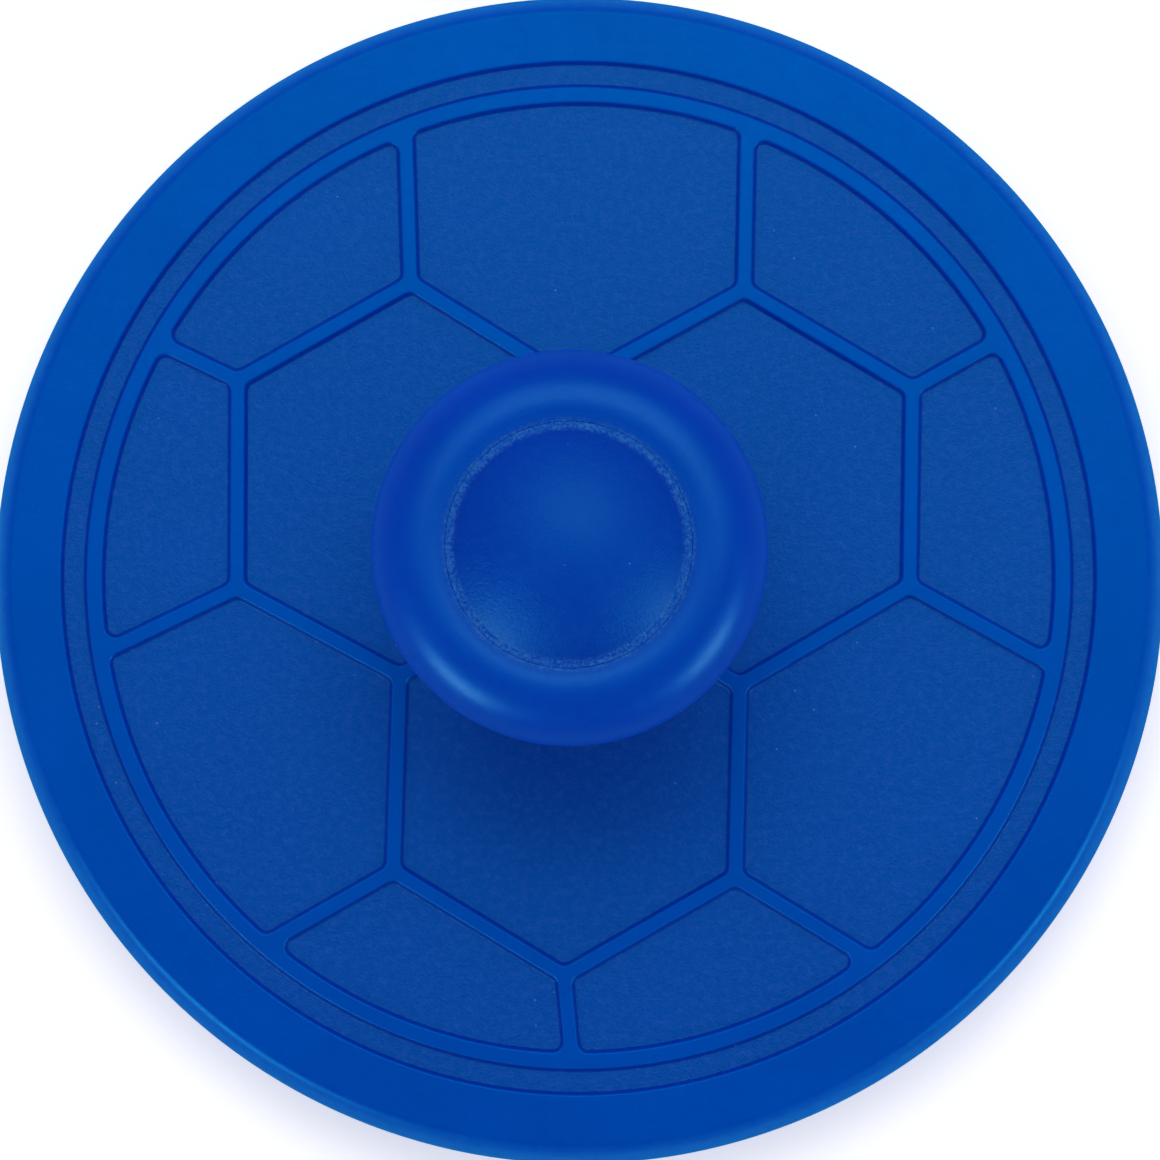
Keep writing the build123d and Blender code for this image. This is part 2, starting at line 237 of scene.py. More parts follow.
# ---- Studio ----
SENSOR_WIDTH = 36.0          # camera's sensor and lens are in millimetres, as Blender counts them
CAMERA_LENS = 178.5
CAMERA_HEIGHT = 464 * MM
CAMERA_OFFSET = (9.4 * MM, -31.25 * MM)    # from the disc's axis: it looks down 4 degrees off vertical
PICTURE_CENTRE = (0.18 * MM, -0.40 * MM)   # this place on the face is in the middle of the picture
SOFTBOXES = [
    # name, azimuth and elevation in degrees, distance and width in metres, watts, whether it fills
    ("front_left", 226, 33, 1.0, 0.32, 3.7, False),
    ("front_right", 327, 33, 1.0, 0.32, 3.3, False),
    ("over", 90, 69, 1.0, 0.50, 1.78, True),
    ("over_left", 133, 68, 1.0, 0.5, 0.5, True),
    ("over_right", 46, 68, 1.0, 0.5, 0.9, True),
]
WORLD_FILL = 0.60            # the surroundings as matte colour gets them
WORLD_SEEN = 0.9             # and as the camera does
WORLD_MIRRORED = (0.0, 0.37, 0.41)    # as gloss does: dimmer and with no red, to match the photo
FLOOR_SIZE = 6.0
FLOOR_GAP = 0.02 * MM
FLOOR_SEEN_GLOW = 0.39       # keeps the floor white around the soft shadow
FLOOR_GLOW = 0.9             # the lit table as matte colour gets it
FLOOR_GLOW_COLOUR = (0.0, 1.0, 1.0)    # no red, to match the photo; it turns the felt's edge teal
FLOOR_ROUGHNESS = 0.9
FLOOR_SPECULAR = 0.1

# ---- Ribs on the face, as in the CAD model ----
RIB_CORNERS = {
    "core": (-0.5, -0.7),
    "crown": (-0.4, 15.6),
    "upper_left": (-13.6, 23.8),
    "upper_right": (13.5, 23.2),
    "left_top": (-27.6, 15.9),
    "right_top": (27.1, 15.1),
    "left_bottom": (-27.6, -1.0),
    "right_bottom": (26.8, -0.9),
    "inner_left": (-14.4, -8.1),
    "inner_right": (13.1, -8.9),
    "lower_left": (-14.9, -23.9),
    "lower_right": (12.7, -24.4),
    "foot": (-1.1, -32.3),
}
RIB_ENDS = {
    "upper_left": (-14.0, 36.0),
    "upper_right": (13.8, 36.3),
    "left_top": (-33.9, 18.9),
    "right_top": (33.2, 18.5),
    "left_bottom": (-38.0, -6.0),
    "right_bottom": (38.3, -7.3),
    "lower_left": (-24.2, -29.2),
    "lower_right": (23.2, -30.8),
    "foot": (-0.5, -38.6),
}
WHOLE_PANELS = [
    ("upper_left", "left_top", "left_bottom", "inner_left", "core", "crown"),
    ("upper_right", "crown", "core", "inner_right", "right_bottom", "right_top"),
    ("core", "inner_left", "lower_left", "foot", "lower_right", "inner_right"),
]
RING_PANELS = [
    ("upper_left", "crown", "upper_right"),
    ("upper_right", "right_top"),
    ("right_top", "right_bottom"),
    ("right_bottom", "inner_right", "lower_right"),
    ("lower_right", "foot"),
    ("foot", "lower_left"),
    ("lower_left", "inner_left", "left_bottom"),
    ("left_bottom", "left_top"),
    ("left_top", "upper_left"),
]


# ======== Paths: cross-sections as points with a normal before and after each ========

def sample(x, z, before, after, wear_and_edge_light=0.0, sunk=0.0):
    """One point of a path: place, normals of the runs before and after it, wear with painted edge light,
    and texture.
    """
    return {"at": (x, z), "before": before, "after": after, "wear_and_edge_light": wear_and_edge_light, "sunk": sunk}


def rounded_path(corners, side=1):
    """Straight runs through corners (x, z, radius, sunk), each corner rounded by its radius.

    With side 1 the solid is on the left of the path, with -1 on the right."""
    places = [Vector(corner[:2]) for corner in corners]
    radii = [corner[2] if len(corner) > 2 else 0.0 for corner in corners]
    sunk = [corner[3] if len(corner) > 3 else 0.0 for corner in corners]
    headings = [(b - a).normalized() for a, b in zip(places, places[1:])]

    def normal(heading):
        return (side * heading.y, -side * heading.x)

    path = [sample(*places[0], normal(headings[0]), normal(headings[0]), sunk=sunk[0])]
    for index in range(1, len(places) - 1):
        into, out, radius = headings[index - 1], headings[index], radii[index]
        turn = atan2(into.x * out.y - into.y * out.x, into.dot(out))
        if radius <= 0 or abs(turn) < radians(STRAIGHT):
            path.append(sample(*places[index], normal(into), normal(out), sunk=sunk[index]))
            continue
        start = places[index] - into * (radius * math.tan(abs(turn) / 2))
        hub = start + Vector((-into.y, into.x)) * math.copysign(radius, turn)
        count = max(2, ceil(degrees(abs(turn)) / ARC_STEP))
        convex = side * turn > 0
        for step in range(count + 1):
            part = step / count
            spin = Matrix.Rotation(turn * part, 2)
            place = hub + spin @ (start - hub)
            facing = normal(spin @ into)
            # convex corners get wear and a painted highlight, most on tight corners
            most = min(WEAR_AND_LIGHT_ON_CORNERS, WEAR_AND_LIGHT_CORNER_SIZE / radius)
            corner_wear_and_light = sin(pi * part) * most if convex else 0.0
            path.append(sample(*place, facing, facing, wear_and_edge_light=corner_wear_and_light, sunk=sunk[index]))
    path.append(sample(*places[-1], normal(headings[-1]), normal(headings[-1]), sunk=sunk[-1]))
    return path


def ellipse_path(centre, radii, start, end, count):
    """Part of an ellipse from start to end degrees, the solid on its inner side."""
    path = []
    for angle in np.radians(np.linspace(start, end, count + 1)):
        across, up = cos(angle), sin(angle)
        facing = Vector((across / radii[0], up / radii[1])).normalized()
        place = (centre[0] + radii[0] * across, centre[1] + radii[1] * up)
        path.append(sample(*place, tuple(facing), tuple(facing)))
    return path


def cove_path(start, start_heading, end, end_heading, count):
    """A smooth curve from start to end with the given headings, the solid on its left."""
    start, end = Vector(start), Vector(end)
    reach = (end - start).length
    pull_out, pull_in = Vector(start_heading) * reach, Vector(end_heading) * reach
    path = []
    for t in np.linspace(0, 1, count + 1):
        place = (
            start * (2 * t**3 - 3 * t**2 + 1)
            + pull_out * (t**3 - 2 * t**2 + t)
            + end * (3 * t**2 - 2 * t**3)
            + pull_in * (t**3 - t**2)
        )
        heading = (
            start * (6 * t**2 - 6 * t)
            + pull_out * (3 * t**2 - 4 * t + 1)
            + end * (6 * t - 6 * t**2)
            + pull_in * (3 * t**2 - 2 * t)
        ).normalized()
        facing = (heading.y, -heading.x)
        path.append(sample(*place, facing, facing))
    return path


def joined(*paths):
    """Paths end to end; where two ends meet they become one point."""
    whole = []
    for path in paths:
        for point in path:
            near = whole and (Vector(whole[-1]["at"]) - Vector(point["at"])).length < SAME_POINT
            if near:
                whole[-1]["after"] = point["after"]
            else:
                whole.append(dict(point))
    return whole


# ======== Outlines: closed, rounded, and able to grow and shrink ========

class Outline:
    """A rounded outline held as base points with outward normals, one corner radius inside it."""

    def __init__(self, corners, inset, rounding, inside, outside):
        self.rounding = rounding
        self.base = []
        self.normal = []
        runs = self._runs([Vector(corner) for corner in corners], inset + rounding)
        runs = self._clip(runs, inside - rounding, True)
        runs = self._clip(runs, outside + rounding, False)
        self._walk(runs, inside)
        self.base = np.array(self.base)
        self.normal = np.array(self.normal)

    @staticmethod
    def _runs(corners, inset):
        """The polygon's sides moved inwards, as (start, end, outward normal)."""
        count = len(corners)
        sides = []
        for index in range(count):
            heading = (corners[(index + 1) % count] - corners[index]).normalized()
            normal = Vector((heading.y, -heading.x))
            sides.append((normal, normal.dot(corners[index]) - inset))
        moved = []
        for index in range(count):
            (n1, d1), (n2, d2) = sides[index - 1], sides[index]
            spread = n1.x * n2.y - n1.y * n2.x
            moved.append(Vector(((d1 * n2.y - d2 * n1.y) / spread, (n1.x * d2 - n2.x * d1) / spread)))
        return [(moved[i], moved[(i + 1) % count], sides[i][0]) for i in range(count)]

    @staticmethod
    def _clip(runs, radius, keep_inside):
        """The parts of the runs that are inside, or outside, a circle about the origin."""
        kept = []
        for start, end, normal in runs:
            along = end - start
            a, b, c = along.dot(along), start.dot(along), start.dot(start) - radius**2
            root = b * b - a * c
            cuts = [0.0, 1.0]
            if root > 0:
                cuts += [t for t in ((-b - root**0.5) / a, (-b + root**0.5) / a) if 0 < t < 1]
            cuts.sort()
            for t0, t1 in zip(cuts, cuts[1:]):
                middle = start + along * ((t0 + t1) / 2)
                if (middle.length < radius) == keep_inside and t1 - t0 > CLOSE:
                    kept.append((start + along * t0, start + along * t1, normal))
        return kept

    def _walk(self, runs, inside):
        """Samples the runs, the arcs that bridge the gaps between them, and the corners."""
        for index, (start, end, normal) in enumerate(runs):
            follower, _, follower_normal = runs[(index + 1) % len(runs)]
            self._add(start, normal)
            self._add(end, normal)
            if (follower - end).length < TOUCHING:
                self._turn(end, normal, follower_normal)
                continue
            on_ring = abs(end.length - (inside - self.rounding)) < CLOSE
            sign = 1 if on_ring else -1
            first, last = atan2(end.y, end.x), atan2(follower.y, follower.x)
            sweep = (sign * (last - first)) % (2 * pi)
            radius = end.length
            arc_start = Vector((cos(first), sin(first))) * sign
            arc_end = Vector((cos(last), sin(last))) * sign
            self._turn(end, normal, arc_start)
            count = max(2, ceil(degrees(sweep) / RING_STEP))
            for step in range(count + 1):
                angle = first + sign * sweep * step / count
                ray = Vector((cos(angle), sin(angle)))
                self._add(ray * radius, ray * sign)
            self._turn(follower, arc_end, follower_normal)

    def _turn(self, place, first, last):
        """A rounded corner: the normals between two runs, all from the same base point."""
        turn = atan2(first.x * last.y - first.y * last.x, first.dot(last))
        count = max(1, ceil(degrees(abs(turn)) / ARC_STEP))
        for step in range(1, count):
            self._add(place, Matrix.Rotation(turn * step / count, 2) @ first)

    def _add(self, place, normal):
        self.base.append(tuple(place))
        self.normal.append(tuple(normal))

    def at(self, inward):
        """The outline's points, moved inwards by this much."""
        return self.base + (self.rounding - inward) * self.normal


# ======== Shells: meshes whose faces carry exact normals ========

class Shell:
    """Vertices and faces of one piece, with a normal for each face corner."""

    def __init__(self):
        self.points = []
        self.wear_and_edge_light = []
        self.sunk = []
        self.faces = []
        self.normals = []

    def add_loop(self, points, wear_and_edge_light, sunk):
        first = len(self.points)
        self.points.extend(points)
        self.wear_and_edge_light.extend([wear_and_edge_light] * len(points))
        self.sunk.extend([sunk] * len(points))
        return list(range(first, first + len(points)))

    def add_face(self, corners, normals):
        """A face, turned so that it faces the way its normals point."""
        a, b, c = (self.points[index] for index in corners[:3])
        d = self.points[corners[-1]]
        u = (c[0] - a[0], c[1] - a[1], c[2] - a[2])
        v = (d[0] - b[0], d[1] - b[1], d[2] - b[2])
        if len(corners) == 3:
            v = (a[0] - b[0], a[1] - b[1], a[2] - b[2])
        cross = (u[1] * v[2] - u[2] * v[1], u[2] * v[0] - u[0] * v[2], u[0] * v[1] - u[1] * v[0])
        middle = [sum(normal[axis] for normal in normals) for axis in range(3)]
        if cross[0] * middle[0] + cross[1] * middle[1] + cross[2] * middle[2] < 0:
            corners, normals = corners[::-1], normals[::-1]
        self.faces.append(corners)
        self.normals.extend(normals)

    def add_strip(self, first, second, first_normals, second_normals):
        """Faces between two loops of as many points, or between a loop and a single point."""
        count = max(len(first), len(second))
        for index in range(count):
            follower = (index + 1) % count
            corners, normals = [], []
            for loop, facing, order in (
                (first, first_normals, (index, follower)),
                (second, second_normals, (follower, index)),
            ):
                for step in order if len(loop) > 1 else (0,):
                    corners.append(loop[step])
                    normals.append(facing[step])
            self.add_face(tuple(corners), normals)

    def add_lathe(self, path, centre=(0.0, 0.0), segments=SEGMENTS):
        """Turns a path about a vertical axis and returns its loops."""
        angles = np.linspace(0, 2 * pi, segments, endpoint=False)
        rays = np.column_stack((np.cos(angles), np.sin(angles)))
        loops = []
        for point in path:
            x, z = point["at"]
            around = rays if x > ON_AXIS else rays[:1]
            places = [(centre[0] + x * c, centre[1] + x * s, z) for c, s in around]
            loops.append(self.add_loop(places, point["wear_and_edge_light"], point["sunk"]))

        def turned(facing, loop):
            chosen = rays if len(loop) > 1 else rays[:1] * 0
            return [(facing[0] * c, facing[0] * s, facing[1]) for c, s in chosen]

        return self._joined(path, loops, turned)

    def add_wall(self, outline, path):
        """Walls along an outline; the path's x runs inwards from it. Returns its loops."""
        loops = []
        for point in path:
            inward, z = point["at"]
            places = [(x, y, z) for x, y in outline.at(inward)]
            loops.append(self.add_loop(places, point["wear_and_edge_light"], point["sunk"]))

        def turned(facing, _):
            return [(-nx * facing[0], -ny * facing[0], facing[1]) for nx, ny in outline.normal]

        return self._joined(path, loops, turned)

    def _joined(self, path, loops, turned):
        """Puts strips between neighbouring loops, and returns the loops."""
        for (a, b), (low, high) in zip(zip(path, path[1:]), zip(loops, loops[1:])):
            self.add_strip(low, high, turned(a["after"], low), turned(b["before"], high))
        return loops

    def add_flat(self, loops, up):
        """Fills the plane between loops: inside an odd number of them is solid."""
        ids = [index for loop in loops for index in loop]
        flat = np.array([self.points[index][:2] for index in ids])
        edges, first = [], 0
        for loop in loops:
            edges += [(first + i, first + (i + 1) % len(loop)) for i in range(len(loop))]
            first += len(loop)
        made = delaunay_2d_cdt([Vector(p) for p in flat], edges, [], 0, ON_AXIS, True)
        places, _, triangles, origins = made[:4]
        corners = np.array([[tuple(places[i]) for i in triangle] for triangle in triangles])
        middles = corners.mean(axis=1)
        inside = np.zeros(len(middles), int)
        first = 0
        for loop in loops:
            ring = flat[first:first + len(loop)]
            inside += contains(ring, middles)
            first += len(loop)
        normal = (0.0, 0.0, 1.0 if up else -1.0)
        for triangle, count in zip(triangles, inside):
            if count % 2 == 1:
                self.add_face(tuple(ids[origins[i][0]] for i in triangle), [normal] * 3)

    def finish(self, name, material, replaced):
        """Makes the Blender object and gives it its normals, finish and CAD node."""
        mesh = bpy.data.meshes.new(name)
        mesh.from_pydata(self.points, [], self.faces)
        mesh.shade_smooth()
        for label, values in (("wear_and_edge_light", self.wear_and_edge_light), ("sunk", self.sunk)):
            mesh.attributes.new(label, "FLOAT", "POINT").data.foreach_set("value", values)
        mesh.normals_split_custom_set(self.normals)
        mesh.update()
        add_piece(mesh, material, replaced)


def add_piece(mesh, material, replaced):
    """An object with this mesh that stands for a CAD node."""
    mesh.materials.append(material)
    piece = bpy.data.objects.new(mesh.name, mesh)
    bpy.context.scene.collection.objects.link(piece)
    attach(piece, "root")
    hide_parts(replaced)
    return piece


def contains(ring, places):
    """1 for each place inside the ring of points, else 0."""
    ends = np.roll(ring, -1, axis=0)
    x, y = places[:, 0:1], places[:, 1:2]
    crosses = (ring[:, 1] > y) != (ends[:, 1] > y)
    rise = np.where(ends[:, 1] == ring[:, 1], 1.0, ends[:, 1] - ring[:, 1])
    at = ring[:, 0] + (y - ring[:, 1]) / rise * (ends[:, 0] - ring[:, 0])
    return (crosses & (x < at)).sum(axis=1) % 2


# ======== Materials ========

class Nodes:
    """Short forms for building a material's nodes."""

    def __init__(self, name):
        self.material = bpy.data.materials.new(name)
        self.material.use_nodes = True
        self.tree = self.material.node_tree
        self.shader = self.tree.nodes["Principled BSDF"]

    def node(self, kind, inputs=None, **settings):
        made = self.tree.nodes.new(kind)
        for key, value in settings.items():
            setattr(made, key, value)
        for key, value in (inputs or {}).items():
            self.feed(made.inputs[key], value)
        return made

    def feed(self, socket, value):
        if isinstance(value, bpy.types.NodeSocket):
            self.tree.links.new(value, socket)
        else:
            socket.default_value = value

    def set(self, name, value):
        """Puts a node's output or a plain value straight on the shader's socket."""
        self.feed(self.shader.inputs[name], value)

    def place(self):
        """Places on the object, in millimetres."""
        coords = self.node("ShaderNodeTexCoord").outputs["Object"]
        return self.stretched(coords, (MM_PER_METRE, MM_PER_METRE, MM_PER_METRE))

    def stretched(self, place, factors):
        inputs = {0: place, 1: factors}
        return self.node("ShaderNodeVectorMath", inputs, operation="MULTIPLY").outputs[0]

    def attribute(self, name):
        return self.node("ShaderNodeAttribute", attribute_name=name).outputs["Fac"]

    def noise(self, place, scale, detail=2.0, rough=0.5):
        inputs = {"Vector": place, "Scale": scale, "Detail": detail, "Roughness": rough}
        return self.node("ShaderNodeTexNoise", inputs).outputs["Fac"]

    def math(self, operation, a, b=0.0, c=0.0):
        return self.node("ShaderNodeMath", {0: a, 1: b, 2: c}, operation=operation).outputs[0]

    def span(self, value, low, high, to_low=0.0, to_high=1.0):
        inputs = {"Value": value, "From Min": low, "From Max": high, "To Min": to_low, "To Max": to_high}
        return self.node("ShaderNodeMapRange", inputs, clamp=True).outputs["Result"]

    def mix(self, factor, a, b):
        """A blend of two colours, each a node's output or plain red, green and blue."""
        made = self.node("ShaderNodeMix", data_type="RGBA")
        self.feed(made.inputs[0], factor)
        self.feed(made.inputs[MIX_A], (*a, 1.0) if isinstance(a, tuple) else a)
        self.feed(made.inputs[MIX_B], (*b, 1.0) if isinstance(b, tuple) else b)
        return made.outputs[MIX_RESULT]

    def bump(self, height, strength, distance, normal=None):
        inputs = {"Height": height, "Strength": strength, "Distance": distance}
        made = self.node("ShaderNodeBump", inputs)
        if normal is not None:
            self.feed(made.inputs["Normal"], normal)
        return made.outputs["Normal"]


def blue_plastic(name, base, smooth_rough, matte_rough, gloss, haze):
    """Moulded blue plastic: satin where the mould was polished, matte where sunk.

    haze, from 0 to 1, is how much painted sheen in pale grains and painted shade the matte faces carry."""
    n = Nodes(name)
    place = n.place()
    sunk, wear_and_edge_light = n.attribute("sunk"), n.attribute("wear_and_edge_light")
    matte = n.span(sunk, 0.0, 1.0)
    seam = n.span(sunk, 1.0, 2.0)
    cloud = n.noise(place, scale=0.09, detail=3.0)
    mottle = n.noise(place, scale=1.1, detail=5.0, rough=0.65)
    grain = n.noise(place, scale=4.5, detail=3.0, rough=0.65)
    speckle = n.noise(place, scale=1.7, detail=4.0, rough=0.7)
    fine = n.noise(place, scale=12.0, detail=2.0)

    # pigment: slow clouds all over; painted shade darkens sunk faces in mottled patches
    red, green, blue = base
    deep = (red, green * (1 - CLOUD_SPREAD[0]), blue * (1 - CLOUD_SPREAD[1]))
    light = (red, green * (1 + CLOUD_SPREAD[0]), blue * (1 + CLOUD_SPREAD[1]))
    pigment = n.mix(n.span(cloud, 0.35, 0.65), deep, light)
    shade = n.span(mottle, 0.3, 0.7, SUNK_SHADE_DEEP * haze, SUNK_SHADE_PALE * haze)
    sunk_shade_tone = (red, green * SUNK_SHADE_TONE[0], blue * SUNK_SHADE_TONE[1])
    pigment = n.mix(n.math("MULTIPLY", matte, shade), pigment, sunk_shade_tone)

    # painted sheen in pale grains on sunk faces, and a painted highlight in pale grains along the cap's
    # seam
    grains = n.math("MULTIPLY", n.span(speckle, 0.44, 0.64), n.span(mottle, 0.35, 0.6, 0.3, 1.0))
    panel_sheen = n.math("MULTIPLY", grains, n.math("MULTIPLY", matte, PANEL_PAINTED_SHEEN * haze))
    pigment = n.mix(panel_sheen, pigment, PANEL_PAINTED_SHEEN_COLOUR)
    fleck = n.math("MULTIPLY", n.span(grain, 0.42, 0.60), n.span(mottle, 0.3, 0.65, 0.35, 1.0))
    seam_highlight = n.math("MULTIPLY", n.math("MULTIPLY", fleck, seam), SEAM_PAINTED_HIGHLIGHT)
    pigment = n.mix(seam_highlight, pigment, SEAM_PAINTED_HIGHLIGHT_COLOUR)

    # specks of dust held by the texture
    cells = n.node("ShaderNodeTexVoronoi", {"Vector": place, "Scale": 0.62})
    dot = n.span(cells.outputs["Distance"], 0.03, 0.07, 1.0, 0.0)
    pick = n.node("ShaderNodeSeparateColor", {"Color": cells.outputs["Color"]}).outputs["Red"]
    speck = n.math("MULTIPLY", dot, n.span(pick, 0.80, 0.82))
    speck = n.math("MULTIPLY", speck, n.math("MULTIPLY_ADD", matte, SPECKS_SUNK, SPECKS_SMOOTH))
    pigment = n.mix(speck, pigment, SPECK_COLOUR)

    # edges made pale, unevenly: painted light on the rim's rounding, and on rounded corners wear from
    # handling and knocks with a painted highlight
    edge_wear_and_light = n.math("MULTIPLY", wear_and_edge_light, n.span(mottle, 0.35, 0.7, 0.7, 1.0))
    pigment = n.mix(n.math("MULTIPLY", edge_wear_and_light, EDGE_WEAR_AND_LIGHT), pigment, EDGE_WEAR_AND_LIGHT_COLOUR)
    n.set("Base Color", pigment)

    rough = n.span(matte, 0.0, 1.0, smooth_rough, matte_rough)
    rough = n.math("ADD", rough, n.span(mottle, 0.3, 0.7, -ROUGH_MOTTLE, ROUGH_MOTTLE))
    rough = n.math("ADD", rough, n.math("MULTIPLY", edge_wear_and_light, WEAR_ROUGHENS))
    n.set("Roughness", rough)

    texture = n.math("MULTIPLY_ADD", fine, TEXTURE_FINE, grain)
    depth = n.math("MULTIPLY_ADD", matte, TEXTURE_SUNK, TEXTURE_SMOOTH)
    swell = n.noise(place, scale=0.35, detail=2.0)
    wave = n.bump(swell, strength=0.35, distance=WAVE_REACH)
    relief = n.math("MULTIPLY", texture, depth)
    n.set("Normal", n.bump(relief, 1.0, TEXTURE_REACH, normal=wave))
    n.set("IOR", PLASTIC_IOR)
    n.set("Specular IOR Level", PLASTIC_SPECULAR)
    tint = n.mix(n.math("MULTIPLY", matte, haze), SMOOTH_TINT, MATTE_TINT)
    n.set("Specular Tint", tint)
    n.set("Coat Weight", gloss)
    n.set("Coat Roughness", PLASTIC_COAT_ROUGHNESS)
    n.set("Subsurface Weight", LIGHT_INSIDE)
    n.set("Subsurface Radius", LIGHT_REACH_BY_COLOUR)
    n.set("Subsurface Scale", LIGHT_REACH)
    return n.material


def pressed_felt():
    """Off-white pressed felt: matted fibres, slightly grey where it has picked up dust."""
    n = Nodes("pressed_felt")
    place = n.place()
    strands = n.noise(place, scale=3.2, detail=6.0, rough=0.7)
    tufts = n.noise(place, scale=0.5, detail=3.0)
    dust = n.noise(place, scale=0.08, detail=2.0)
    shade = n.mix(n.span(strands, 0.3, 0.7), FELT_DARK, FELT_PALE)
    shade = n.mix(n.span(dust, 0.45, 0.7, 0.0, 0.35), shade, FELT_DUST)
    n.set("Base Color", shade)
    n.set("Roughness", n.span(tufts, 0.3, 0.7, 0.9, 1.0))
    n.set("Normal", n.bump(n.math("ADD", strands, tufts), strength=0.8, distance=0.00012))
    n.set("Sheen Weight", 0.35)
    n.set("Sheen Roughness", 0.5)
    n.set("Specular IOR Level", 0.15)
    return n.material


def adhesive_film():
    """Thin double-sided film, pale amber with bubbles caught under it."""
    n = Nodes("adhesive_film")
    place = n.place()
    bubbles = n.noise(place, scale=0.8, detail=4.0, rough=0.6)
    shade = n.mix(n.span(bubbles, 0.4, 0.6), FILM_DARK, FILM_PALE)
    n.set("Base Color", shade)
    n.set("Roughness", n.span(bubbles, 0.4, 0.6, 0.18, 0.35))
    n.set("Normal", n.bump(bubbles, strength=0.3, distance=0.00002))
    return n.material


def zinc_plate():
    """Bright zinc on steel, with fine turning marks and dull spots."""
    n = Nodes("zinc_plate")
    place = n.place()
    marks = n.noise(n.stretched(place, (1, 1, 9)), scale=3.0, detail=3.0)
    spots = n.noise(place, scale=1.3, detail=4.0, rough=0.6)
    shade = n.mix(n.span(spots, 0.45, 0.7), ZINC_BRIGHT, ZINC_DULL)
    n.set("Base Color", shade)
    n.set("Roughness", n.span(spots, 0.4, 0.7, 0.22, 0.42))
    n.set("Normal", n.bump(marks, strength=0.25, distance=0.00002))
    n.set("Metallic", 1.0)
    return n.material


disc_plastic = blue_plastic(
    "blue_disc_plastic", (0.0, 0.0385, 0.43), smooth_rough=0.34, matte_rough=0.34, gloss=0.0, haze=1.0
)
knob_plastic = blue_plastic(
    "blue_knob_plastic", (0.0, 0.030, 0.43), smooth_rough=0.37, matte_rough=0.42, gloss=0.06, haze=0.0
)
cap_plastic = blue_plastic(
    "blue_cap_plastic", (0.0, 0.025, 0.41), smooth_rough=0.36, matte_rough=0.37, gloss=0.02, haze=0.25
)
plate_plastic = blue_plastic(
    "blue_plate_plastic", (0.0, 0.032, 0.36), smooth_rough=0.40, matte_rough=0.50, gloss=0.02, haze=0.0
)


# ======== Striker body ========

def flank_path(side_at, drop_from, outward):
    """Corners of a rib's flank at side_at, from its top down; outward is +1 or -1."""
    return [
        (side_at - outward * FLANK_SPREAD, drop_from, FLANK_TOP_ROUND, 0.0),
        (side_at + outward * FLANK_SPREAD, drop_from - PATTERN_DEPTH, FLANK_FOOT_ROUND, 1.0),
    ]


def past_ring(corner):
    """A point outside the ring on the rib that leaves this corner outwards."""
    (x, y), (end_x, end_y) = RIB_CORNERS[corner], RIB_ENDS[corner]
    return (2 * end_x - x, 2 * end_y - y)


def panel_outlines():
    """The sunk panels between the ribs, clipped by the ring and by the stem's pad."""
    whole = [[RIB_CORNERS[name] for name in names] for names in WHOLE_PANELS]
    cut = [
        [past_ring(names[0]), *(RIB_CORNERS[name] for name in names), past_ring(names[-1])]
        for names in RING_PANELS
    ]
    return [
        Outline(
            [(x * MM, y * MM) for x, y in corners],
            inset=RIB_WIDTH / 2, rounding=PANEL_CORNER, inside=RING_INNER, outside=PAD_RADIUS,
        )
        for corners in whole + cut
    ]


def wedge_outlines(count, gap, rounding, inner, outer):
    """The parts of a ring from radius inner to outer that evenly spaced gaps divide it into."""
    reach = 2 * outer
    outlines = []
    for index in range(count):
        first, last = (radians(360 / count * (index + step)) for step in (0, 1))
        wedge = [(0.0, 0.0), polar(reach, first), polar(reach, last)]
        outlines.append(Outline(wedge, inset=gap / 2, rounding=rounding, inside=outer, outside=inner))
    return outlines


def pocket_outlines(inner, outer):
    return wedge_outlines(SPOKE_COUNT, SPOKE_WIDTH, POCKET_CORNER, inner, outer)


def polar(radius, angle):
    return (radius * cos(angle), radius * sin(angle))


def on_circle(radius, count, start_angle):
    """Evenly spaced centres on a circle."""
    return [polar(radius, radians(start_angle + 360 / count * i)) for i in range(count)]


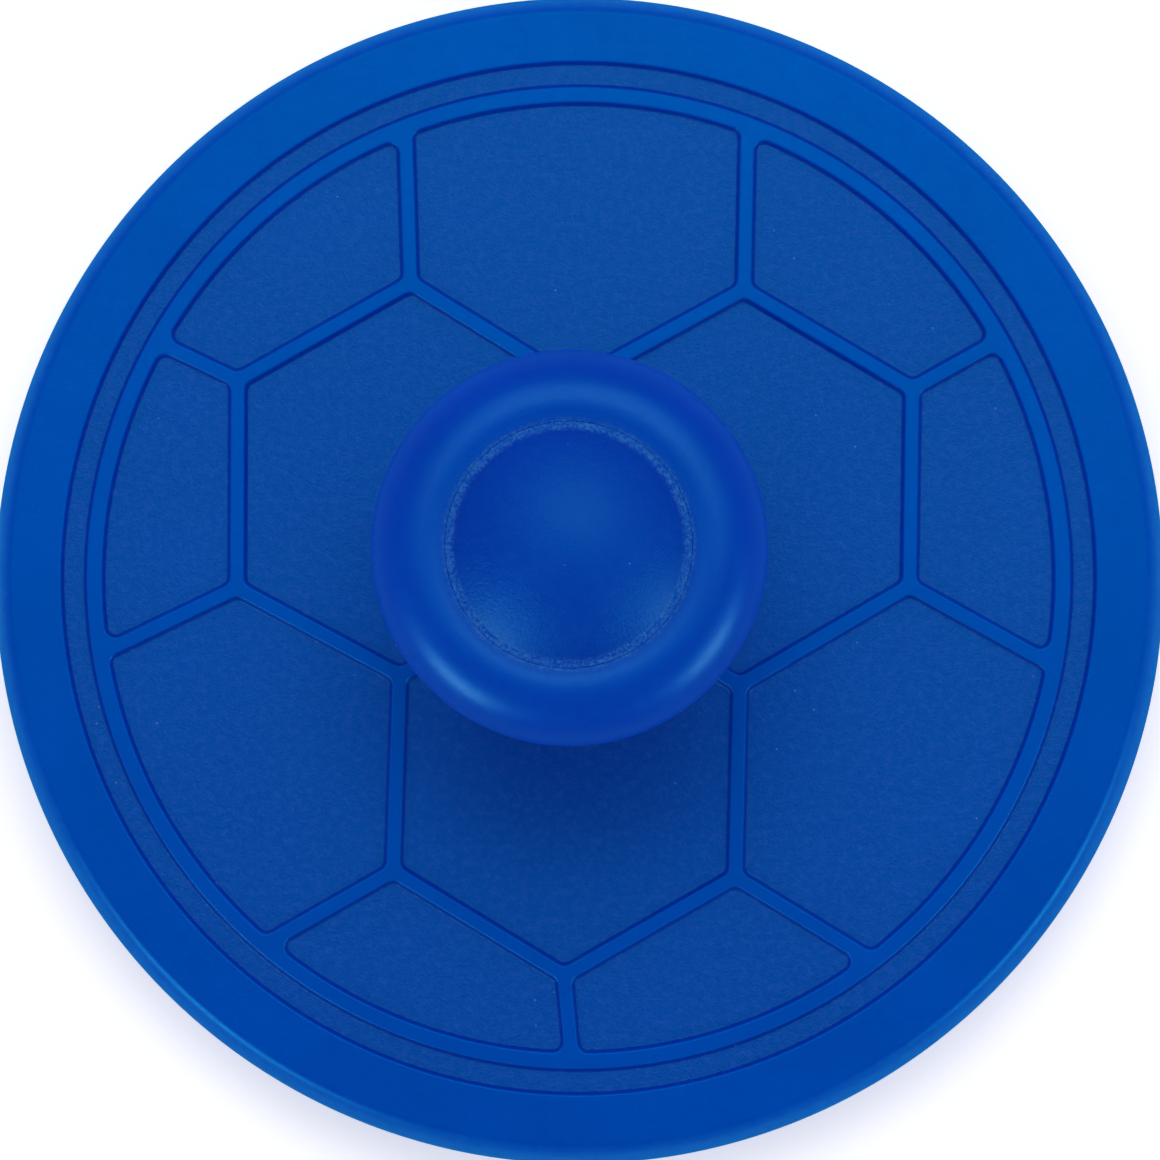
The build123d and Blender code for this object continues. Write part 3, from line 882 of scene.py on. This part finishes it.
def build_body():
    shell = Shell()
    far = 2.0 * MM
    edge = 0.12 * MM

    # stem, from the edge of its top down the flare to the face
    stem = rounded_path([
        (STEM_FOOT_RADIUS + STEM_FLARE + far, FACE),
        (STEM_FOOT_RADIUS, FACE, STEM_FLARE),
        (STEM_TOP_RADIUS, COLLAR_BOTTOM),
        (STEM_TOP_RADIUS, STEM_TOP, MIDDLE_ROUND),
        (STEM_TOP_RADIUS - far, STEM_TOP),
    ])[1:-1]
    stem_loops = shell.add_lathe(stem)

    # skirt from the ledge under the face, rim, outer band, groove and the ring's outer flank
    skirt = rounded_path([
        (PILOT_BORE, PLATE_TOP),
        (SKIRT_INNER, PLATE_TOP),
        (SKIRT_INNER, SKIRT_BOTTOM, SKIRT_EDGE_ROUND),
        (DISC_RADIUS, SKIRT_BOTTOM, SKIRT_EDGE_ROUND),
        (DISC_RADIUS, FACE - RIM_DROP - RIM_PAINTED_LIGHT_END),
        (DISC_RADIUS, FACE - RIM_DROP),
    ])[1:-1]
    rim_centre = (DISC_RADIUS - RIM_WIDTH, FACE - RIM_DROP)
    rim = ellipse_path(rim_centre, (RIM_WIDTH, RIM_DROP), 0, 90, RIM_STEPS)
    # painted light: the rim's rounding is painted paler, palest from halfway round down
    for index, point in enumerate(rim):
        point["wear_and_edge_light"] = RIM_PAINTED_LIGHT * min(1.0, RIM_PAINTED_LIGHT_RISE * (1 - index / (len(rim) - 1)))
    band = rounded_path([
        (DISC_RADIUS - RIM_WIDTH, FACE),
        *flank_path(GROOVE_OUTER, FACE, -1),
        *reversed(flank_path(RING_OUTER, FACE, 1)),
        (RING_OUTER - far, FACE),
    ])[:-1]
    outside = joined(skirt, rim, band)
    outside_loops = shell.add_lathe(outside)

    # sunk panels
    top_edges = []
    flank = rounded_path([
        (-far, FACE), *flank_path(0.0, FACE, 1), (far, FACE - PATTERN_DEPTH, 0.0, 1.0),
    ], side=-1)[1:-1]
    for outline in panel_outlines():
        loops = shell.add_wall(outline, flank)
        top_edges.append(loops[0])
        shell.add_flat([loops[-1]], up=True)
    shell.add_flat([outside_loops[-1], stem_loops[0], *top_edges], up=True)

    # stem's bore and screw boss
    bore = rounded_path([
        (SKIRT_INNER, PLATE_TOP),
        (STEM_BORE_FOOT, PLATE_TOP, SMALL_ROUND),
        (STEM_BORE_TOP, STEM_TOP - STEM_FLOOR, LARGEST_ROUND),
        (BOSS_RADIUS, STEM_TOP - STEM_FLOOR, LARGE_ROUND),
        (BOSS_RADIUS, STEM_TOP - BOSS_LENGTH, edge),
        (PILOT_BORE, STEM_TOP - BOSS_LENGTH, edge),
        (PILOT_BORE, STEM_TOP, edge),
        (STEM_TOP_RADIUS, STEM_TOP),
    ], side=-1)[1:-1]
    bore_loops = shell.add_lathe(bore)

    # stem's top with its two pegs
    peg = rounded_path([
        (PEG_RADIUS + far, STEM_TOP),
        (PEG_RADIUS, STEM_TOP, edge),
        (PEG_RADIUS, STEM_TOP + PEG_HEIGHT, SMALL_ROUND),
        (0.0, STEM_TOP + PEG_HEIGHT),
    ])[1:]
    peg_loops = [
        shell.add_lathe(peg, centre, SMALL_SEGMENTS)[0] for centre in on_circle(PEG_CIRCLE, 2, 0)
    ]
    shell.add_flat([stem_loops[-1], bore_loops[-1], *peg_loops], up=True)

    # pockets between spokes, ring and hub, and the sockets standing in the outer ones
    wall = rounded_path([
        (-far, PLATE_TOP), (0.0, PLATE_TOP, edge), (0.0, ROOF, MIDDLE_ROUND), (far, ROOF),
    ])[1:-1]
    inner = pocket_outlines(HUB_RADIUS, RING_STIFFENER - SPOKE_WIDTH / 2)
    outer = pocket_outlines(RING_STIFFENER + SPOKE_WIDTH / 2, CAVITY_RADIUS)
    rims = []
    for outline in inner:
        loops = shell.add_wall(outline, wall)
        rims.append(loops[0])
        shell.add_flat([loops[-1]], up=False)
    post = rounded_path([
        (SOCKET_RADIUS + far, ROOF),
        (SOCKET_RADIUS, ROOF, MIDDLE_ROUND),
        (SOCKET_RADIUS, PLATE_TOP, edge),
        (SOCKET_RADIUS - far, PLATE_TOP),
    ], side=-1)[1:-1]
    hole = rounded_path([
        (SOCKET_RADIUS, PLATE_TOP),
        (PIN_RADIUS + PIN_CLEARANCE, PLATE_TOP, edge),
        (PIN_RADIUS + PIN_CLEARANCE, ROOF, edge),
        (0.0, ROOF),
    ], side=-1)[1:]
    centres = on_circle(PIN_CIRCLE, SPOKE_COUNT, PIN_START_ANGLE)
    for outline, centre in zip(outer, centres):
        loops = shell.add_wall(outline, wall)
        post_loops = shell.add_lathe(post, centre, SMALL_SEGMENTS)
        hole_loops = shell.add_lathe(hole, centre, SMALL_SEGMENTS)
        rims += [loops[0], post_loops[-1], hole_loops[0]]
        shell.add_flat([loops[-1], post_loops[0]], up=False)
    shell.add_flat([outside_loops[0], bore_loops[0], *rims], up=False)
    shell.finish("striker_disc", disc_plastic, "striker_body")


# ======== Knob ========

def build_knob():
    shell = Shell()
    far = 2.0 * MM
    edge = 0.15 * MM
    tuck = radians(HEAD_TUCK)
    tuck_place = (
        CROWN_RADIUS + HEAD_HALF_WIDTH * cos(tuck), HEAD_CENTRE - HEAD_DEPTH * sin(tuck)
    )
    tuck_heading = Vector((HEAD_HALF_WIDTH * sin(tuck), HEAD_DEPTH * cos(tuck))).normalized()
    collar_top = (COLLAR_RADIUS, COLLAR_BOTTOM + COLLAR_EDGE)

    # collar, cove and head, from the sleeve's mouth over the crown to the cap's seat and the floor
    collar = rounded_path([
        (SLEEVE_RADIUS, STEM_TOP),
        (SLEEVE_RADIUS, COLLAR_BOTTOM, edge),
        (COLLAR_RADIUS, COLLAR_BOTTOM, COLLAR_EDGE),
        collar_top,
    ])[1:-1]
    cove = cove_path(collar_top, (0, 1), tuck_place, tuck_heading, COVE_STEPS)
    centre = (CROWN_RADIUS, HEAD_CENTRE)
    underside = ellipse_path(centre, (HEAD_HALF_WIDTH, HEAD_DEPTH), -HEAD_TUCK, 0, UNDERSIDE_STEPS)
    shoulder = ellipse_path(centre, (HEAD_HALF_WIDTH, CROWN_RISE), 0, 90, SHOULDER_STEPS)
    dip = CROWN_RADIUS - CAP_SEAT_RADIUS
    dip_radius = (dip**2 + (CROWN_TOP - VALLEY)**2) / (2 * (CROWN_TOP - VALLEY))
    roll = degrees(math.asin((dip - CROWN_STOP) / dip_radius))
    crown = ellipse_path(
        (CROWN_RADIUS, CROWN_TOP - dip_radius), (dip_radius, dip_radius), 90, 90 + roll, CROWN_STEPS
    )
    # the crown's inner slope is matte, and near the seam it gets a painted highlight
    for point in crown:
        point["sunk"] = SEAM_MATTE_AND_HIGHLIGHT * max(0.0, min(1.0, (SEAM_BAND - point["at"][0]) / SEAM_FADE))
    well = rounded_path([
        crown[-1]["at"],
        (CAP_SEAT_RADIUS, VALLEY, SEAM_ROUND, SEAM_MATTE_AND_HIGHLIGHT),
        (CAP_SEAT_RADIUS, CAP_BASE, edge),
        (KNOB_BORE, CAP_BASE, edge),
        (KNOB_BORE, KNOB_FLOOR, LARGE_ROUND),
        (CLEARANCE_BORE, KNOB_FLOOR, edge),
        (CLEARANCE_BORE, STEM_TOP, edge),
        (CLEARANCE_BORE + far, STEM_TOP),
    ])[:-1]
    top = rounded_path([
        (CLEARANCE_BORE, STEM_TOP),
        (SLEEVE_RADIUS, STEM_TOP, MIDDLE_ROUND),
        (SLEEVE_RADIUS, COLLAR_BOTTOM),
    ])[1:-1]
    loops = shell.add_lathe(joined(top, collar, cove, underside, shoulder, crown, well))

    # holes in the floor's underside for the stem's pegs
    hole = rounded_path([
        (PEG_RADIUS + far, STEM_TOP),
        (PEG_RADIUS + PEG_CLEARANCE, STEM_TOP, edge),
        (PEG_RADIUS + PEG_CLEARANCE, STEM_TOP + PEG_HEIGHT + PEG_CLEARANCE, edge),
        (0.0, STEM_TOP + PEG_HEIGHT + PEG_CLEARANCE),
    ], side=-1)[1:]
    holes = [
        shell.add_lathe(hole, centre, SMALL_SEGMENTS)[0] for centre in on_circle(PEG_CIRCLE, 2, 0)
    ]
    shell.add_flat([loops[0], loops[-1], *holes], up=False)
    shell.finish("knob_head", knob_plastic, "knob")


# ======== Cap ========

def build_cap():
    shell = Shell()
    far = 1.0 * MM
    edge = 0.12 * MM

    # hollow under the dome
    hollow_sphere = (HOLLOW_RADIUS**2 + HOLLOW_RISE**2) / (2 * HOLLOW_RISE)
    spread = degrees(math.asin(HOLLOW_RADIUS / hollow_sphere))
    arch = ellipse_path(
        (0.0, CAP_BASE + HOLLOW_RISE - hollow_sphere),
        (hollow_sphere, hollow_sphere), 90, 90 - spread, ARCH_STEPS,
    )
    for point in arch:
        point["before"] = point["after"] = tuple(-Vector(point["after"]))
    arch_loops = shell.add_lathe(arch)

    # flange, lip and dome
    dome_start = DOME_EDGE - DOME_FILLET / 2
    start = degrees(math.acos(dome_start / DOME_SPHERE))
    dome = ellipse_path(
        (0.0, DOME_TOP - DOME_SPHERE), (DOME_SPHERE, DOME_SPHERE), start, 90, DOME_STEPS
    )
    dome[-1]["at"] = (0.0, DOME_TOP)
    for point in dome:
        point["sunk"] = 1.0
    flange = rounded_path([
        (HOLLOW_RADIUS, CAP_BASE),
        (CAP_EDGE, CAP_BASE, edge),
        # the lip beside the seam is matte with a painted highlight
        (CAP_EDGE, VALLEY, LIP_ROUND, SEAM_MATTE_AND_HIGHLIGHT),
        (DOME_EDGE, VALLEY, DOME_FILLET, SEAM_MATTE_AND_HIGHLIGHT),
        dome[0]["at"],
    ])[1:-1]
    dome_loops = shell.add_lathe(joined(flange, dome))

    # plug: four springy segments between slots
    finger = rounded_path([
        (-far, CAP_BASE),
        (0.0, CAP_BASE, SMALL_ROUND),
        (0.0, PLUG_BOTTOM, SMALL_ROUND),
        (far, PLUG_BOTTOM),
    ])[1:-1]
    roots = []
    for outline in wedge_outlines(PLUG_COUNT, PLUG_SLOT, PLUG_CORNER, PLUG_INNER, PLUG_OUTER):
        loops = shell.add_wall(outline, finger)
        roots.append(loops[0])
        shell.add_flat([loops[-1]], up=False)
    shell.add_flat([arch_loops[-1], dome_loops[0], *roots], up=False)
    shell.finish("knob_domed_cap", cap_plastic, "knob_cap")


# ======== Base plate, film and felt ========

def build_plate():
    shell = Shell()
    far = 1.0 * MM
    edge = 0.2 * MM
    radius = min(plate_high.x, plate_high.y)
    disc = rounded_path([
        (0.0, plate_low.z), (radius, plate_low.z, edge), (radius, PLATE_TOP, edge), (0.0, PLATE_TOP),
    ])[:-1]
    loops = shell.add_lathe(disc)
    pin = rounded_path([
        (PIN_RADIUS + far, PLATE_TOP),
        (PIN_RADIUS, PLATE_TOP, PIN_ROOT_ROUND),
        (PIN_RADIUS, plate_high.z, LARGE_ROUND),
        (0.0, plate_high.z),
    ])[1:]
    centres = on_circle(PIN_CIRCLE, SPOKE_COUNT, PIN_START_ANGLE)
    pins = [shell.add_lathe(pin, centre, SMALL_SEGMENTS)[0] for centre in centres]
    shell.add_flat([loops[-1], *pins], up=True)
    shell.finish("base_disc", plate_plastic, "base_plate")


def build_film():
    shell = Shell()
    radius = min(film_high.x, film_high.y)
    edge = 0.05 * MM
    disc = rounded_path([
        (0.0, film_low.z), (radius, film_low.z, edge), (radius, film_high.z, edge), (0.0, film_high.z),
    ])
    shell.add_lathe(disc)
    shell.finish("film_disc", adhesive_film(), "adhesive_film")


def build_felt():
    """The felt disc: matted underside, uneven rim, flat where it is glued."""
    radius = min(felt_high.x, felt_high.y) - FELT_FRAY
    thickness = felt_high.z - felt_low.z
    rings = np.linspace(0, 1, FELT_RINGS + 1)[1:] * (radius - thickness / 4)
    angles = np.linspace(0, 2 * pi, FELT_SEGMENTS, endpoint=False)

    def relief(x, y):
        spot = Vector((x / FELT_TUFT, y / FELT_TUFT, FELT_LAYER))
        return 0.5 + 0.5 * noise.fractal(spot, 1.0, 2.0, 4)

    points, loops = [(0.0, 0.0, felt_low.z + FELT_RELIEF / 2)], []
    for ring in rings:
        loops.append(range(len(points), len(points) + FELT_SEGMENTS))
        for angle in angles:
            x, y = polar(ring, angle)
            lift = min(max(relief(x, y), 0.0), 1.0)
            points.append((x, y, felt_low.z + FELT_RELIEF * lift))
    for height in FELT_EDGE_LEVELS:
        loops.append(range(len(points), len(points) + FELT_SEGMENTS))
        bulge = 0.5 * thickness * (math.sqrt(1 - (2 * height - 1) ** 2) - 1) * 0.5
        for angle in angles:
            across, up = cos(angle), sin(angle)
            spot = Vector((FRAY_AROUND * across, FRAY_AROUND * up, FRAY_UP * height))
            fray = noise.fractal(spot, 1.0, 2.0, 3)
            reach = radius + bulge + FELT_FRAY * max(-1.0, min(1.0, fray))
            points.append((reach * across, reach * up, felt_low.z + thickness * height))
    loops.append(range(len(points), len(points) + FELT_SEGMENTS))
    points += [(*polar(radius - 0.25 * thickness, angle), felt_high.z) for angle in angles]
    points.append((0.0, 0.0, felt_high.z))

    faces = []
    for index in range(FELT_SEGMENTS):
        follower = (index + 1) % FELT_SEGMENTS
        faces.append((0, loops[0][follower], loops[0][index]))
        for low, high in zip(loops, loops[1:]):
            faces.append((low[index], low[follower], high[follower], high[index]))
        faces.append((loops[-1][index], loops[-1][follower], len(points) - 1))
    mesh = bpy.data.meshes.new("felt_disc")
    mesh.from_pydata(points, [], faces)
    mesh.shade_smooth()
    piece = add_piece(mesh, pressed_felt(), "felt_pad")
    across = felt_high.x - felt_low.x


def dress_fasteners():
    """The washer and screw keep their CAD shape and get their own finish."""
    metal = zinc_plate()
    for name in ("washer", "screw"):
        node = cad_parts[name]
        node.data.materials.clear()
        node.data.materials.append(metal)


# ======== Studio: camera, lights and floor ========

def look(eye, target, up):
    """Placement of something at eye that looks at target along its own -Z."""
    back = (eye - target).normalized()
    right = up.cross(back).normalized()
    turn = Matrix((right, back.cross(right), back)).transposed()
    return Matrix.Translation(eye) @ turn.to_4x4()


def add_camera():
    camera = bpy.data.objects.new("camera", bpy.data.cameras.new("camera"))
    camera.data.sensor_width = SENSOR_WIDTH
    camera.data.lens = CAMERA_LENS
    bpy.context.scene.collection.objects.link(camera)
    eye = Vector((*CAMERA_OFFSET, FACE + CAMERA_HEIGHT))
    camera.matrix_world = look(eye, Vector((*PICTURE_CENTRE, FACE)), Vector((0, 1, 0)))
    bpy.context.scene.camera = camera


def add_softbox(name, azimuth, elevation, distance, width, power, fills):
    """A square studio light aimed at the disc; azimuth is counted from +X towards +Y.

    One that doesn't fill only makes highlights, and the even surroundings light the matte colour."""
    light = bpy.data.lights.new(name, "AREA")
    light.shape = "SQUARE"
    light.size = width
    light.energy = power
    softbox = bpy.data.objects.new(name, light)
    softbox.visible_diffuse = fills
    bpy.context.scene.collection.objects.link(softbox)
    around, up = radians(azimuth), radians(elevation)
    ray = Vector((cos(up) * cos(around), cos(up) * sin(around), sin(up)))
    target = Vector((0, 0, FACE))
    softbox.matrix_world = look(target + ray * distance, target, Vector((0, 0, 1)))


def add_world():
    """Even surroundings that light matte colour, look dimmer in gloss, and are a pale backdrop."""
    world = bpy.data.worlds.new("studio")
    world.use_nodes = True
    bpy.context.scene.world = world
    tree = world.node_tree
    backdrop = tree.nodes["Background"]
    path = tree.nodes.new("ShaderNodeLightPath")
    level = tree.nodes.new("ShaderNodeMapRange")
    level.inputs["To Min"].default_value = WORLD_FILL
    level.inputs["To Max"].default_value = WORLD_SEEN
    tree.links.new(path.outputs["Is Camera Ray"], level.inputs["Value"])
    tree.links.new(level.outputs["Result"], backdrop.inputs["Strength"])
    tone = tree.nodes.new("ShaderNodeMix")
    tone.data_type = "RGBA"
    tree.links.new(path.outputs["Is Glossy Ray"], tone.inputs[0])
    tone.inputs[MIX_A].default_value = (*WHITE, 1.0)
    tone.inputs[MIX_B].default_value = (*WORLD_MIRRORED, 1.0)
    tree.links.new(tone.outputs[MIX_RESULT], backdrop.inputs["Color"])
    world.cycles.sampling_method = "NONE"     # as a lamp it would give gloss the matte colour


def add_floor():
    mesh = bpy.data.meshes.new("floor")
    reach = FLOOR_SIZE / 2
    depth = felt_low.z - FLOOR_GAP
    ends = ((-reach, -reach), (reach, -reach), (reach, reach), (-reach, reach))
    mesh.from_pydata([(x, y, depth) for x, y in ends], [], [(0, 1, 2, 3)])
    n = Nodes("pale_floor")
    tone = n.noise(n.place(), scale=0.02, detail=2.0)
    shade = n.mix(n.span(tone, 0.4, 0.6), FLOOR_DARK, FLOOR_PALE)
    n.set("Base Color", shade)
    n.set("Roughness", FLOOR_ROUGHNESS)
    n.set("Specular IOR Level", FLOOR_SPECULAR)
    seen = n.node("ShaderNodeLightPath").outputs["Is Camera Ray"]
    glow = n.mix(seen, FLOOR_GLOW_COLOUR, WHITE)
    n.set("Emission Color", glow)
    strength = n.span(seen, 0.0, 1.0, FLOOR_GLOW, FLOOR_SEEN_GLOW)
    n.set("Emission Strength", strength)
    mesh.materials.append(n.material)
    floor = bpy.data.objects.new("floor", mesh)
    bpy.context.scene.collection.objects.link(floor)
    floor.visible_glossy = False     # gloss mirrors the dim surroundings instead, to match the photo


build_body()
build_knob()
build_cap()
build_plate()
build_film()
build_felt()
dress_fasteners()

add_camera()
for softbox in SOFTBOXES:
    add_softbox(*softbox)
add_world()
add_floor()
bpy.context.scene.view_settings.view_transform = "Standard"
